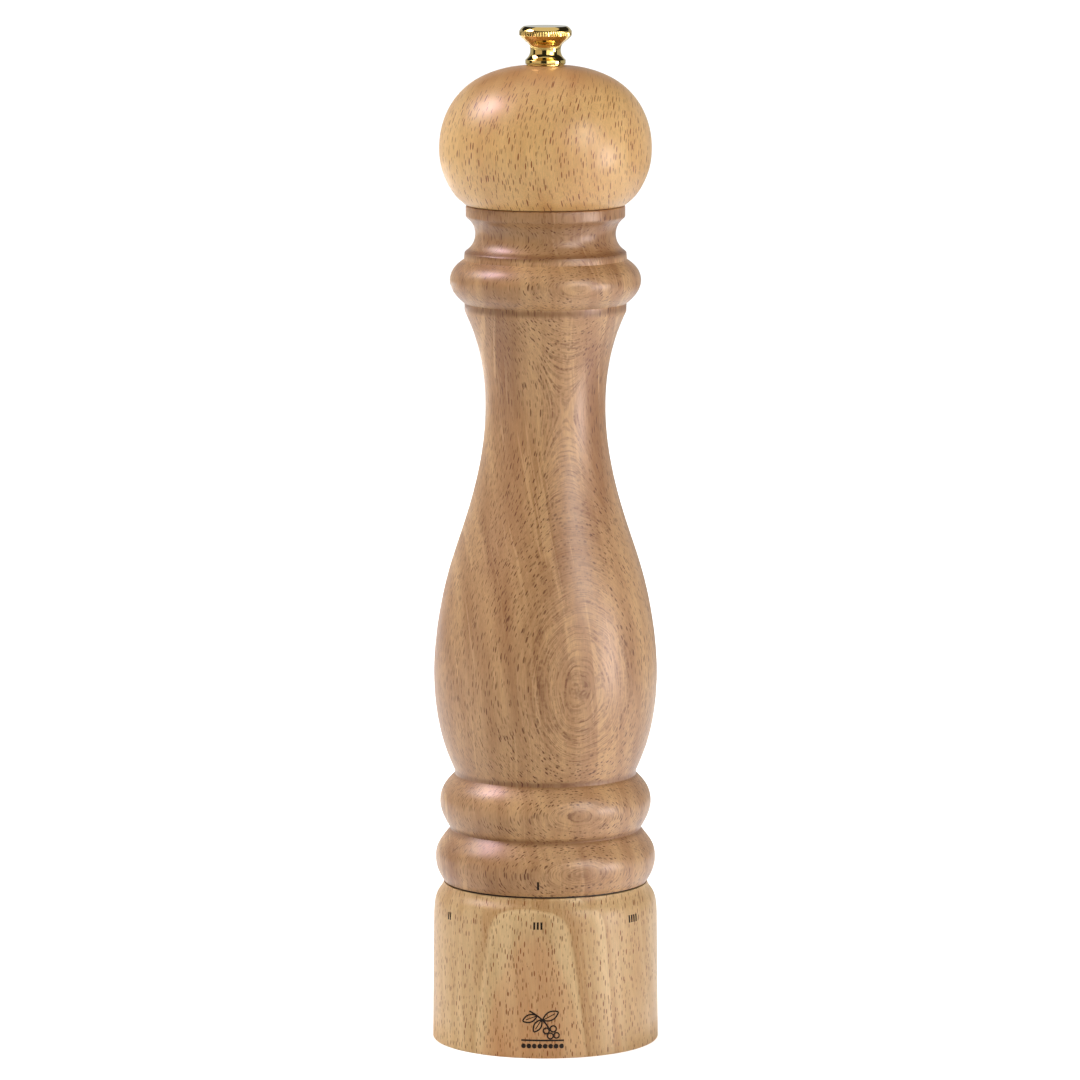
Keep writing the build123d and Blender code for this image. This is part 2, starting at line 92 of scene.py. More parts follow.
def softened(points, radius=0.18):
    """Polyline whose inner corners are slightly rounded, as on any worn or sanded edge."""
    line = [points[0]]
    for before, corner, after in zip(points, points[1:], points[2:]):
        back = np.array(before, float) - corner
        on = np.array(after, float) - corner
        cut = min(radius, 0.45 * np.hypot(*back), 0.45 * np.hypot(*on))
        first = corner + back / np.hypot(*back) * cut
        last = corner + on / np.hypot(*on) * cut
        middle = (first + last) / 4 + np.array(corner) / 2
        line += [tuple(first), tuple(middle), tuple(last)]
    return line + [points[-1]]


def joined(*stretches):
    """One line from several that follow on from each other."""
    line = list(stretches[0])
    for stretch in stretches[1:]:
        skip = 1 if math.dist(line[-1], stretch[0]) < 1e-3 else 0
        line += stretch[skip:]
    return line


# ---------------------------------------------------------------- lathe
def angles_round(count, marks=()):
    """Angles of the columns: an even fan, with a column at each side of each mark."""
    fixed = sorted(a for pair in marks for a in pair)
    even = [2 * math.pi * i / count for i in range(count)]
    least = 0.35 * 2 * math.pi / count
    free = [a for a in even if all(abs((a - f + math.pi) % (2 * math.pi) - math.pi) > least for f in fixed)]
    return sorted(free + [f % (2 * math.pi) for f in fixed])


def lathe(name, outer, inner, angles, radius_at=None, crease=28):
    """Quad mesh turned about Z: outer is the finished outside, and inner closes it through the bore."""
    line = joined(outer, inner)
    finished = len(outer) - 1
    if math.dist(line[0], line[-1]) < 1e-3:
        line = line[:-1]
    mesh = bmesh.new()
    columns = len(angles)
    rings = []
    for r, z in line:
        if r < 1e-6:
            rings.append([mesh.verts.new((0, 0, z * MM))] * columns)
            continue
        ring = []
        for k, a in enumerate(angles):
            here = radius_at(k, r, z) if radius_at else r
            ring.append(mesh.verts.new((here * math.sin(a) * MM, -here * math.cos(a) * MM, z * MM)))
        rings.append(ring)
    closed = line[0][0] > 1e-6 or line[-1][0] > 1e-6
    count = len(rings) if closed else len(rings) - 1
    for i in range(count):
        low, high = rings[i], rings[(i + 1) % len(rings)]
        for k in range(columns):
            n = (k + 1) % columns
            corners = [low[k], low[n], high[n], high[k]]
            corners = [v for j, v in enumerate(corners) if v is not corners[j - 1]]
            if len(corners) < 3:    # a stretch of the axis itself
                continue
            face = mesh.faces.new(corners)
            face.smooth = True
            face.material_index = 0 if i < finished else 1
    bmesh.ops.recalc_face_normals(mesh, faces=mesh.faces)
    for edge in mesh.edges:
        if len(edge.link_faces) == 2 and edge.calc_face_angle() > math.radians(crease):
            edge.smooth = False
    data = bpy.data.meshes.new(name)
    mesh.to_mesh(data)
    mesh.free()
    piece = bpy.data.objects.new(name, data)
    bpy.context.scene.collection.objects.link(piece)
    return piece


def engrave(piece, marks, low_z, high_z, outside_r, depth, material_index):
    """Sinks the faces inside each mark, between two angles and two heights, into the surface."""
    mesh = bmesh.new()
    mesh.from_mesh(piece.data)
    for first, last in marks:
        chosen = []
        for face in mesh.faces:
            spot = face.calc_center_median() / MM
            angle = math.atan2(spot.x, -spot.y)
            middle, half = (first + last) / 2, (last - first) / 2
            off = (angle - middle + math.pi) % (2 * math.pi) - math.pi
            if abs(off) < half and low_z < spot.z < high_z and math.hypot(spot.x, spot.y) > outside_r:
                chosen.append(face)
        rim = {v for f in chosen for v in f.verts}
        walls = bmesh.ops.extrude_face_region(mesh, geom=chosen)["geom"]
        sunk = [v for v in walls if isinstance(v, bmesh.types.BMVert)]
        for v in sunk:
            v.co -= Vector((v.co.x, v.co.y, 0)).normalized() * depth * MM
        bmesh.ops.delete(mesh, geom=[f for f in chosen if f.is_valid], context="FACES_ONLY")
        floor = [f for f in walls if isinstance(f, bmesh.types.BMFace)]
        edge_faces = {f for v in sunk for f in v.link_faces}
        for face in edge_faces | set(floor):
            face.material_index = material_index
            face.smooth = False
        for v in rim:
            if v.is_valid:
                for edge in v.link_edges:
                    if edge.other_vert(v) in rim:
                        edge.smooth = False
    bmesh.ops.recalc_face_normals(mesh, faces=mesh.faces)
    mesh.to_mesh(piece.data)
    mesh.free()


# ---------------------------------------------------------------- material graphs
class Value:
    """A node's output that can be used in plain arithmetic."""

    def __init__(self, graph, socket):
        self.graph = graph
        self.socket = socket

    def run(self, operation, *others, clamp=False):
        node = self.graph.add("ShaderNodeMath", operation=operation, use_clamp=clamp)
        for socket, value in zip(node.inputs, (self, *others)):
            self.graph.feed(socket, value)
        return Value(self.graph, node.outputs[0])

    def __add__(self, other):
        return self.run("ADD", other)

    def __sub__(self, other):
        return self.run("SUBTRACT", other)

    def __mul__(self, other):
        return self.run("MULTIPLY", other)

    def __truediv__(self, other):
        return self.run("DIVIDE", other)

    __radd__ = __add__
    __rmul__ = __mul__

    def squared(self):
        return self * self

    def root(self):
        return self.run("SQRT")

    def clamped(self):
        return self.run("ADD", 0.0, clamp=True)

    def between(self, low, high, out_low=0.0, out_high=1.0):
        """Smooth step of this value from low to high."""
        node = self.graph.add("ShaderNodeMapRange", interpolation_type="SMOOTHSTEP")
        values = (self, low, high, out_low, out_high)
        for socket, value in zip(node.inputs, values):
            self.graph.feed(socket, value)
        return Value(self.graph, node.outputs[0])


class Graph:
    """The node tree of one material around a Principled shader."""

    def __init__(self, name):
        self.material = bpy.data.materials.new(name)
        self.material.use_nodes = True
        self.tree = self.material.node_tree
        self.tree.nodes.clear()
        self.shader = self.add("ShaderNodeBsdfPrincipled")
        self.out = self.add("ShaderNodeOutputMaterial")
        self.tree.links.new(self.shader.outputs[0], self.out.inputs["Surface"])

    def add(self, kind, **settings):
        node = self.tree.nodes.new(kind)
        for key, value in settings.items():
            setattr(node, key, value)
        return node

    def feed(self, socket, value):
        if isinstance(value, Value):
            self.tree.links.new(value.socket, socket)
        elif isinstance(value, bpy.types.NodeSocket):
            self.tree.links.new(value, socket)
        else:
            socket.default_value = value

    def set(self, **values):
        """Inputs of the shader: a plain number stays on the socket itself."""
        for key, value in values.items():
            self.feed(self.shader.inputs[key.replace("_", " ")], value)

    def split(self, vector):
        node = self.add("ShaderNodeSeparateXYZ")
        self.feed(node.inputs[0], vector)
        return [Value(self, s) for s in node.outputs]

    def joined(self, x, y, z):
        node = self.add("ShaderNodeCombineXYZ")
        for socket, value in zip(node.inputs, (x, y, z)):
            self.feed(socket, value)
        return node.outputs[0]

    def place(self):
        """Object coordinates in mm."""
        spot = self.add("ShaderNodeTexCoord").outputs["Object"]
        return [v * 1000.0 for v in self.split(spot)]

    def normal(self):
        """Surface normal in object space."""
        return self.split(self.add("ShaderNodeTexCoord").outputs["Normal"])

    def noise(self, x, y, z, scale=1.0, detail=2.0, roughness=0.5):
        node = self.add("ShaderNodeTexNoise")
        self.feed(node.inputs["Vector"], self.joined(x, y, z))
        node.inputs["Scale"].default_value = scale
        node.inputs["Detail"].default_value = detail
        node.inputs["Roughness"].default_value = roughness
        return Value(self, node.outputs[0])

    def mix(self, share, first, second):
        node = self.add("ShaderNodeMix", data_type="RGBA")
        self.feed(node.inputs[0], share)
        self.feed(node.inputs[6], first)
        self.feed(node.inputs[7], second)
        return node.outputs[2]

    def tinted(self, colour, factor):
        """A colour made lighter or darker by a factor."""
        node = self.add("ShaderNodeVectorMath", operation="SCALE")
        self.feed(node.inputs[0], colour[:3] if isinstance(colour, tuple) else colour)
        self.feed(node.inputs["Scale"], factor)
        return node.outputs[0]

    def bump(self, height, strength, distance_mm):
        node = self.add("ShaderNodeBump")
        node.inputs["Strength"].default_value = strength
        node.inputs["Distance"].default_value = distance_mm * MM
        self.feed(node.inputs["Height"], height)
        self.tree.links.new(node.outputs[0], self.shader.inputs["Normal"])


def tone(red, green, blue):
    """Colour from 8-bit display values."""
    linear = []
    for value in (red, green, blue):
        s = value / 255
        linear.append(s / 12.92 if s <= 0.04045 else ((s + 0.055) / 1.055) ** 2.4)
    return (*linear, 1.0)


# ---------------------------------------------------------------- wood
BAND_SLANT = 0.085       # sideways drift of the rays for each mm of height
PLANK_CONTRAST = 1.9
CLOUD_CONTRAST = 1.5
FIBRE_CONTRAST = 0.62
SATIN = 0.33             # roughness of the lacquer
BARE = 0.66              # roughness of wood without it


def speck(g, spot, cell, half, seed, keep):
    """Ellipsoids scattered one to a cell: 1 inside, 0 outside, and a random number of each.

    spot, cell and half are in mm along three axes. keep is the share of cells that hold one.
    """
    scaled = [value / size + seed for value, size in zip(spot, cell)]
    node = g.add("ShaderNodeTexVoronoi")
    g.feed(node.inputs["Vector"], g.joined(*scaled))
    node.inputs["Scale"].default_value = 1.0
    centre = g.split(node.outputs["Position"])
    split = g.add("ShaderNodeSeparateColor")
    g.tree.links.new(node.outputs["Color"], split.inputs[0])
    chance, size, shade = [Value(g, s) for s in split.outputs]
    offsets = [(s - c) * (width / radius) for s, c, width, radius in zip(scaled, centre, cell, half)]
    span = (offsets[0].squared() + offsets[1].squared() + offsets[2].squared()).root()
    inside = (span / size.between(0.0, 1.0, 0.65, 1.15)).between(0.7, 1.08, 1.0, 0.0)
    return inside * chance.between(1.0 - keep, 1.04 - keep), shade


class Plank:
    """Places in a plank whose pith lies far behind the side that it faces, all in mm.

    u points away from the pith through the facing side, v runs sideways, and z up. radius is the
    distance from the pith, and sideways is the way round it. along is 1 where the surface runs
    along the rings, and 0 where it cuts straight across them.
    """

    def __init__(self, g, facing, pith, lean, bend, bend_z, wander_mm, seed):
        x, y, self.z = g.place()
        turn = math.radians(facing)
        self.u = x * math.sin(turn) - y * math.cos(turn)
        self.v = x * math.cos(turn) + y * math.sin(turn)
        wander = g.noise(self.u + seed, self.v, self.z * 0.35, scale=0.035)
        drift = g.noise(self.u, self.v + seed, self.z * 0.3, scale=0.16)
        shift = ((wander - 0.5) + (drift - 0.5) * 0.12) * wander_mm
        away = self.u + self.z * math.tan(math.radians(lean)) + shift + pith
        self.radius = (away.squared() + self.v.squared()).root()
        self.sideways = self.v.run("ARCTAN2", away) * pith + (drift - 0.5) * 0.8
        if bend:
            self.sideways = self.sideways - (self.z - bend_z).squared() * bend
        nx, ny, _ = g.normal()
        outward = nx * math.sin(turn) - ny * math.cos(turn)
        sidelong = nx * math.cos(turn) + ny * math.sin(turn)
        self.along = ((outward * away + sidelong * self.v) / self.radius).run("ABSOLUTE")


def growth_rings(g, wood, width, phase, uneven_share, seed):
    """Pale early wood that darkens into a late line, with uneven widths."""
    uneven = g.noise(wood.radius, 0.0, seed, scale=0.21, detail=1.0)
    part = (wood.radius / width + uneven * uneven_share + phase).run("FRACT")
    late = part.between(0.1, 0.9) * 1.2 - part.between(0.9, 0.98) * 1.2
    return late - part.between(0.0, 0.1, 0.5, 0.0)


def ray_threads(g, wood, slanted, seed):
    """Rays seen from the side: long pale threads that come in patches."""
    thread = g.noise(slanted * 0.7, wood.radius * 0.02, wood.z * 0.016 + seed, roughness=0.65)
    patch = g.noise(wood.sideways * 0.07, wood.radius * 0.05, wood.z * 0.02 + seed, detail=1.0)
    return thread.between(0.56, 0.63) * patch.between(0.36, 0.55)


def vessel_arcs(g, wood, seed):
    """Fine layers of vessels, cut into arcs where the curved surface runs along the rings."""
    radius, sideways, z = wood.radius, wood.sideways, wood.z
    layer = g.noise(radius * 6.5, sideways * 0.06, z * 0.06 + seed, detail=1.0)
    thin = g.noise(radius * 12.0, sideways * 0.14, z * 0.18, detail=1.0)
    gaps = g.noise(radius, sideways * 0.9, z * 0.9, detail=1.0)
    arcs = layer.between(0.5, 0.62) * 0.45 + thin.between(0.48, 0.6) * 0.55
    return arcs * gaps.between(0.38, 0.58, 0.35, 1.15) * wood.along.between(0.88, 0.985, 0.3, 1.0)


def beech(
    name,
    pale,
    dark,
    fleck,
    facing,
    pith=90.0,
    lean=0.0,
    bend=0.0,
    bend_z=0.0,
    ring_width=2.0,
    ring_depth=0.3,
    ring_phase=0.0,
    uneven_share=2.2,
    wander_mm=3.0,
    ring_side=None,
    rays=None,
    ray_depth=0.7,
    vessels=None,
    vessel_depth=0.6,
    threads=0.0,
    ripples=0.0,
    ripple=None,
    glow=None,
    glow_colour=None,
    lacquer=1.0,
    seed=0.0,
):
    """Beech cut from a plank: growth rings about a distant pith, spindle rays and fine vessels.

    facing is the azimuth, in degrees from the front towards +X, of the side the rings run along.
    pith, ring_width and wander_mm are in mm, and lean is in degrees. bend curves the rays above
    and below bend_z. The rings grow from faint to full between the two places of ring_side, which
    are sideways like those of the rays. rays and vessels are (cell, half size, share kept), each
    sideways, up and outwards from the pith. glow gives the share of glow_colour at a place: a tint
    of the wood itself, or painted shade, depending on the function passed.
    lacquer is the coat's strength: at 0 the wood is bare.
    """
    g = Graph(name)
    wood = Plank(g, facing, pith, lean, bend, bend_z, wander_mm, seed)
    u, v, z = wood.u, wood.v, wood.z
    radius, sideways, along = wood.radius, wood.sideways, wood.along

    # growth rings, broad bands that stand in planes through the pith, and softer clouds
    late = growth_rings(g, wood, ring_width, ring_phase, uneven_share, seed)
    ring_share = along.between(0.74, 0.9) * ring_depth
    if ring_side:
        ring_share = ring_share * sideways.between(*ring_side, 0.2, 1.0)
    slanted = sideways + z * BAND_SLANT
    plank = g.noise(slanted * 0.24 + seed, radius * 0.025, z * 0.011, detail=3.0, roughness=0.55)
    cloud = g.noise(u, v + seed, z * 0.35, scale=0.05, detail=3.0, roughness=0.6)
    grain = (late - 0.45) * ring_share + (plank - 0.5) * PLANK_CONTRAST
    grain = grain + (cloud - 0.5) * CLOUD_CONTRAST + 0.5
    colour = g.mix(grain.clamped(), pale, dark)
    fibre = g.noise(u * 2.8, v * 2.8, z * 0.3, detail=3.0, roughness=0.65)
    colour = g.tinted(colour, (fibre - 0.5) * FIBRE_CONTRAST + 1.0)
    height = fibre * 0.5

    if threads:
        share = ray_threads(g, wood, slanted, seed) * threads
        colour = g.mix(share.clamped(), colour, pale)
    if ripples:
        arcs = vessel_arcs(g, wood, seed) * ripples
        colour = g.mix(arcs.clamped(), colour, ripple)
        height = height - arcs * 0.5
    # mixes in glow_colour: painted shade on the head and body, a tint of the wood itself on the ring
    if glow is not None:
        colour = g.mix(glow(u, sideways, z), colour, glow_colour)
    flat = along.between(0.92, 0.99, 1.0, 0.15)
    end_on = along.between(0.15, 0.6, 0.25, 1.0)
    for scatter, depth in ((vessels, flat * vessel_depth), (rays, end_on * ray_depth)):
        if scatter is not None:
            cell, half, keep = scatter
            inside, shade = speck(g, (sideways, z, radius), cell, half, seed, keep)
            share = inside * shade.between(0.0, 1.0, 0.45, 1.0) * depth
            colour = g.mix(share.clamped(), colour, fleck)
            height = height - inside * 0.6

    if lacquer > 0:
        g.set(Base_Color=colour, Roughness=(fibre * 0.1 + cloud * 0.08 + SATIN))
        g.set(Coat_Weight=0.25 * lacquer, Coat_Roughness=0.25, Coat_IOR=1.45)
        g.set(Specular_IOR_Level=0.4 * lacquer)
        g.bump(height, 0.3, 0.03)
    else:
        g.set(Base_Color=colour, Roughness=(fibre * 0.2 + BARE), Specular_IOR_Level=0.25)
        g.bump(height, 0.6, 0.06)
    return g.material


# ---------------------------------------------------------------- metals and plastics
def metal(name, colour, roughness, turned=0.0, brushed=0.0, pitted=0.0, scratch=0.0, darker=0.75):
    """Metal with lathe lines, brushing, pitting and fine scratches, each from 0 to 1."""
    g = Graph(name)
    x, y, z = g.place()
    radius = (x.squared() + y.squared()).root()
    lines = g.noise(radius * 9.0, 0.0, z * 9.0, detail=3.0, roughness=0.7)
    brush = g.noise(x * 9.0, y * 9.0, z * 0.7, detail=3.0, roughness=0.65)
    grit = g.noise(x, y, z, scale=4.5, detail=4.0, roughness=0.7)
    cloud = g.noise(x, y, z, scale=0.28, detail=3.0)
    hair = g.noise(x * 0.5 + y * 3.0, y * 0.4 - z * 3.2, z * 0.5 + x * 2.9, scale=1.6, detail=2.0)
    line = (hair - 0.5).run("ABSOLUTE").between(0.0, 0.012, 1.0, 0.0)
    mark = (lines - 0.5) * turned + (brush - 0.5) * brushed + (grit - 0.5) * pitted
    shade = (mark * 0.5 + (cloud - 0.5) * 0.25 - line * scratch * 0.12 + 0.97).clamped()
    dull = tuple(c * darker for c in colour[:3]) + (1.0,)
    g.set(Base_Color=g.mix(shade, dull, colour), Metallic=1.0)
    rough = mark * 0.3 + (cloud - 0.5) * 0.12 + line * scratch * 0.12 + roughness
    g.set(Roughness=rough.clamped())
    g.bump(mark - line * scratch * 0.3, 0.35, 0.012)
    return g.material


def moulded(name, colour, roughness, specular=0.4):
    """Moulded plastic with a fine spark-eroded grain."""
    g = Graph(name)
    x, y, z = g.place()
    grit = g.noise(x, y, z, scale=6.0, detail=3.0, roughness=0.7)
    cloud = g.noise(x, y, z, scale=0.2, detail=2.0)
    g.set(Base_Color=g.tinted(colour, (grit - 0.5) * 0.16 + (cloud - 0.5) * 0.1 + 1.0))
    g.set(Roughness=((grit - 0.5) * 0.25 + (cloud - 0.5) * 0.12 + roughness))
    g.set(Specular_IOR_Level=specular)
    g.bump(grit, 0.25, 0.02)
    return g.material


def inked(name):
    """Scorched, dark brown line work in wood."""
    g = Graph(name)
    x, y, z = g.place()
    grit = g.noise(x, y, z, scale=3.0, detail=3.0, roughness=0.7)
    fibre = g.noise(x * 5.0, y * 5.0, z * 0.4)
    char = (grit - 0.5) * 0.8 + (fibre - 0.5) * 0.8 + 0.45
    g.set(Base_Color=g.mix(char.clamped(), tone(20, 14, 11), tone(44, 31, 24)))
    g.set(Roughness=(grit * 0.2 + 0.6), Specular_IOR_Level=0.2)
    g.bump(char, 0.4, 0.02)
    return g.material


def head_top_painted_shade(_u, _sideways, z):
    """Painted shade on the top of the head round the knob: the wood is drawn darker and warmer there."""
    return z.between(279.0, 288.0) * 0.55


GROOVES = (63.1, 79.8, 217.9, 234.0)    # heights of the body's inner corners, darkened with painted shade


def body_painted_shade(_u, _sideways, z):
    """Painted shade: the wood is drawn darker in the cove, on the rim under the head and in the grooves."""
    share = z.between(232.5, 236.5) * 0.4
    for groove in GROOVES:
        share = share + (z - groove).run("ABSOLUTE").between(0.2, 1.6, 0.7, 0.0)
    return share.clamped()


def ring_blush(u, sideways, z):
    """Warm flush of heartwood low on the front of the ring, under an arch of the grain."""
    off = (sideways - 1.0).squared() * 0.012
    rise = (z * -1.0 + 40.0) * 0.045 - off
    return rise.between(-0.05, 0.35) * u.between(0.0, 20.0) * 0.28


PALE_BEECH = dict(pale=tone(230, 188, 124), dark=tone(204, 152, 90), fleck=tone(132, 62, 20))
BODY_BEECH = dict(pale=tone(206, 163, 114), dark=tone(158, 110, 68), fleck=tone(84, 40, 14))
RING_BEECH = dict(pale=tone(220, 188, 138), dark=tone(190, 148, 98), fleck=tone(124, 66, 30))
RAW_BEECH = dict(pale=tone(222, 188, 146), dark=tone(196, 154, 110), fleck=tone(150, 104, 66))
SPINDLES = ((0.98, 2.3, 5.5), (0.15, 1.1, 3.9), 1.0)
SMALL_SPINDLES = ((0.9, 2.0, 5.0), (0.14, 0.9, 3.5), 0.97)
LAMELLAE = ((1.0, 2.7, 0.42), (0.4, 1.25, 0.11), 0.97)

HEAD_FACING = 4.0
BODY_FACING = 24.0
RING_FACING = -5.0

head_wood = beech(
    "beech_head",
    **PALE_BEECH,
    facing=HEAD_FACING,
    pith=95.0,
    bend=0.0075,
    bend_z=262.0,
    ring_depth=0.0,
    rays=SPINDLES,
    ray_depth=1.0,
    # painted shade round the knob, in a darker, warmer wood colour
    glow=head_top_painted_shade,
    glow_colour=tone(196, 130, 82),
    seed=31.0,
)
body_wood = beech(
    "beech_body",
    **BODY_BEECH,
    facing=BODY_FACING,
    pith=88.0,
    ring_width=1.9,
    ring_depth=0.12,
    vessels=LAMELLAE,
    vessel_depth=0.9,
    threads=0.85,
    ripples=0.68,
    ripple=tone(112, 64, 36),
    # painted shade in the cove, under the head and in the grooves
    glow=body_painted_shade,
    glow_colour=tone(132, 88, 50),
    seed=5.0,
)
ring_wood = beech(
    "beech_ring",
    **RING_BEECH,
    facing=RING_FACING,
    pith=92.0,
    lean=-2.3,
    ring_width=4.55,
    ring_depth=0.85,
    ring_phase=-0.018,
    uneven_share=0.3,
    wander_mm=0.4,
    rays=SMALL_SPINDLES,
    ray_depth=0.95,
    threads=0.3,
    ring_side=(-16.0, -3.0),
    glow=ring_blush,
    glow_colour=tone(212, 146, 100),
    lacquer=0.6,
    seed=57.0,
)
raw_wood = beech(
    "beech_raw",
    **RAW_BEECH,
    facing=BODY_FACING,
    rays=SMALL_SPINDLES,
    lacquer=0.0,
    seed=12.0,
)
ink = inked("scorched_mark")
polished_brass = metal("brass_polished", tone(218, 186, 112), 0.06, turned=0.25, scratch=0.4, darker=0.8)

FINISHES = {
    "brass_polished": polished_brass,
    "brass": metal("brass_machined", tone(214, 182, 110), 0.32, turned=0.8, pitted=0.2),
    "steel": metal("steel_drawn", tone(196, 197, 200), 0.34, brushed=0.9, scratch=0.6),
    "zinc_steel": metal("steel_zinc", tone(206, 208, 214), 0.3, turned=0.4, pitted=0.4),
    "spring_steel": metal("steel_spring", tone(120, 120, 124), 0.36, brushed=0.6, pitted=0.3),
    "hard_steel": metal("steel_hardened", tone(92, 91, 92), 0.42, pitted=1.0, scratch=0.3, darker=0.6),
    "housing_steel": metal("steel_pressed", tone(184, 185, 188), 0.38, turned=0.7, pitted=0.4),
    "black_plastic": moulded("plastic_black", tone(20, 19, 19), 0.5),
}
NODE_SLOTS = {
    "mechanism_housing": "housing_steel",
    "housing_screws": "zinc_steel",
    "bridge": "steel",
    "bridge_screws": "zinc_steel",
    "shaft_bush": "brass",
    "retaining_ring": "spring_steel",
    "glide_washer": "black_plastic",
    "detent_ball": "steel",
    "detent_spring": "spring_steel",
    "drive_shaft": "steel",
    "shaft_circlip": "spring_steel",
    "thrust_washer": "brass",
    "spring_washer": "steel",
    "pressure_spring": "spring_steel",
    "grinding_cone": "hard_steel",
    "cone_washer": "steel",
    "cone_nut": "zinc_steel",
    "drive_plate": "steel",
    "drive_plate_screws": "zinc_steel",
    "ring_sleeve": "black_plastic",
    "thread_ring": "brass",
    "thread_ring_screws": "zinc_steel",
    "stator_carrier": "black_plastic",
    "stator": "hard_steel",
    "stator_clip": "spring_steel",
}
for node, slot in NODE_SLOTS.items():
    NODES[node].data.materials.clear()
    NODES[node].data.materials.append(FINISHES[slot])


# ---------------------------------------------------------------- the turned pieces
BASE_R = 33.4
FOOT_ROUND = 0.45
FLANK_TOP_R = 33.1
FLANK_TOP_Z = 36.5
RING_BORE_R = 26.6
BORE_CHAMFER = 0.8
SEAM_R = 30.1            # both sides of the seam between the ring and the body
RING_TOP_Z = 46.95
BODY_BOTTOM_Z = 47.45
RECESS_R = 21.4          # of the body, for the mechanism's housing
RECESS_TOP_Z = 55.4
RESERVOIR_R = 12.5
TENON_SEAT_R = 14.6
TENON_SEAT_Z = 235.5
COLLAR_R = 23.36
BODY_TOP_Z = 247.7
HEAD_BOTTOM_Z = 247.85
HEAD_TOP_Z = 288.5
TENON_R = 14.5
TENON_BOTTOM_Z = 238.1
TENON_CHAMFER = 0.8
HEAD_BORE_R = 4.5
HEAD_BORE_TOP_Z = 280.0
SHAFT_HOLE_R = 2.8
STROKE_WIDTH = 0.6
STROKE_PITCH = 1.05
SETTING_STEP = 55.0
REST_SETTING = 3
MARK_DEPTH = 0.3
INK = 2                  # material slot of the marks' floors and walls
FINE = 180               # columns round a turned piece


def fit(piece, node, body, slot, *materials):
    """Puts a turned piece in the place of its CAD node."""
    for material in materials:
        piece.data.materials.append(material)
    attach(piece, body)
    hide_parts(node)
    return piece


def body_outline():
    lower_bead = curve(
        [(SEAM_R, BODY_BOTTOM_Z), (31.12, 49.1), (32.53, 54.3), (32.0, 57.5), (30.3, 60.3), (28.2, 63.0)],
        0.55,
    )
    second_bead = curve([(28.2, 63.2), (30.23, 67.0), (31.22, 71.4), (29.9, 75.8), (26.85, 79.3)], 0.6)
    waist = curve(
        [
            (26.8, 80.3),
            (29.3, 86.4),
            (31.69, 95.4),
            (32.95, 108.5),
            (31.86, 123.7),
            (28.5, 139.9),
            (23.4, 155.8),
            (19.29, 171.9),
            (17.65, 190.0),
            (18.89, 202.1),
            (22.04, 212.8),
            (23.7, 216.6),
        ],
        1.2,
    )
    collar_bead = curve([(23.8, 219.0), (26.4, 221.5), (28.02, 226.0), (26.78, 229.3), (23.9, 231.8)], 0.6)
    cove = arc((23.3, 234.3), (20.6, 239.6), (23.1, 244.1))
    rim = [(23.1, 244.1), (COLLAR_R, 244.5), (COLLAR_R, 247.35), (22.96, BODY_TOP_Z)]
    rim.append((TENON_SEAT_R, BODY_TOP_Z))
    step = [(23.9, 231.8), (23.72, 233.9), (23.3, 234.3)]
    return joined(lower_bead, second_bead, waist, collar_bead, softened(step), cove, softened(rim))


def index_rows(line, low_z, high_z):
    """A line with rows added at two heights, so that a mark's ends are straight."""
    rows = []
    for before, after in zip(line, line[1:]):
        rows.append(before)
        for z in (low_z, high_z):
            if min(before[1], after[1]) < z < max(before[1], after[1]):
                share = (z - before[1]) / (after[1] - before[1])
                rows.append((before[0] + (after[0] - before[0]) * share, z))
    return rows + [line[-1]]


def mark_angles(middle_deg, radius, offset=0.0):
    """Angles of the two sides of one stroke."""
    middle = math.radians(middle_deg) + offset / radius
    return middle - STROKE_WIDTH / 2 / radius, middle + STROKE_WIDTH / 2 / radius


INDEX_LOW_Z = 49.78
INDEX_HIGH_Z = 52.32
INDEX_R = 31.95          # of the wood at the index stroke


def turned_body():
    """The body, with the index stroke on its lowest bead, bored for the pepper."""
    outside = index_rows(body_outline(), INDEX_LOW_Z, INDEX_HIGH_Z)
    inside = [(TENON_SEAT_R, BODY_TOP_Z), (TENON_SEAT_R, TENON_SEAT_Z), (RESERVOIR_R, TENON_SEAT_Z)]
    inside += straight((RESERVOIR_R, TENON_SEAT_Z), (RESERVOIR_R, RECESS_TOP_Z), 6.0)[1:]
    inside += [(RECESS_R, RECESS_TOP_Z), (RECESS_R, BODY_BOTTOM_Z)]
    inside += [(26.5, BODY_BOTTOM_Z), (SEAM_R, BODY_BOTTOM_Z)]
    marks = [mark_angles(0, INDEX_R)]
    body = lathe("turned_body", outside, inside, angles_round(FINE, marks))
    engrave(body, marks, INDEX_LOW_Z, INDEX_HIGH_Z, INDEX_R - 3, MARK_DEPTH, INK)
    fit(body, "body", "mill_body", "beech_body", body_wood, raw_wood, ink)


def turned_head():
    """The ball, with a tenon below it that enters the body."""
    ball = curve(
        [
            (23.3, HEAD_BOTTOM_Z),
            (25.75, 249.9),
            (28.27, 253.4),
            (30.75, 260.2),
            (31.12, 264.2),
            (30.32, 270.8),
            (27.24, 277.8),
            (22.0, 283.3),
            (13.81, 287.2),
            (10.2, 288.05),
            (6.4, HEAD_TOP_Z),
        ]
    )
    outside = joined(
        softened([(TENON_R, HEAD_BOTTOM_Z), (22.9, HEAD_BOTTOM_Z), ball[0], ball[1]], 0.12),
        ball[1:],
        straight((6.4, HEAD_TOP_Z), (SHAFT_HOLE_R, HEAD_TOP_Z)),
    )
    tip = TENON_BOTTOM_Z + TENON_CHAMFER
    inside = [(SHAFT_HOLE_R, HEAD_TOP_Z), (SHAFT_HOLE_R, HEAD_BORE_TOP_Z)]
    inside += [(HEAD_BORE_R, HEAD_BORE_TOP_Z), (HEAD_BORE_R, TENON_BOTTOM_Z)]
    inside += [(TENON_R - TENON_CHAMFER, TENON_BOTTOM_Z), (TENON_R, tip)]
    inside += straight((TENON_R, tip), (TENON_R, HEAD_BOTTOM_Z), 3.0)[1:]
    head = lathe("turned_head", outside, inside, angles_round(FINE))
    fit(head, "head", "head_unit", "beech_pale", head_wood, raw_wood)


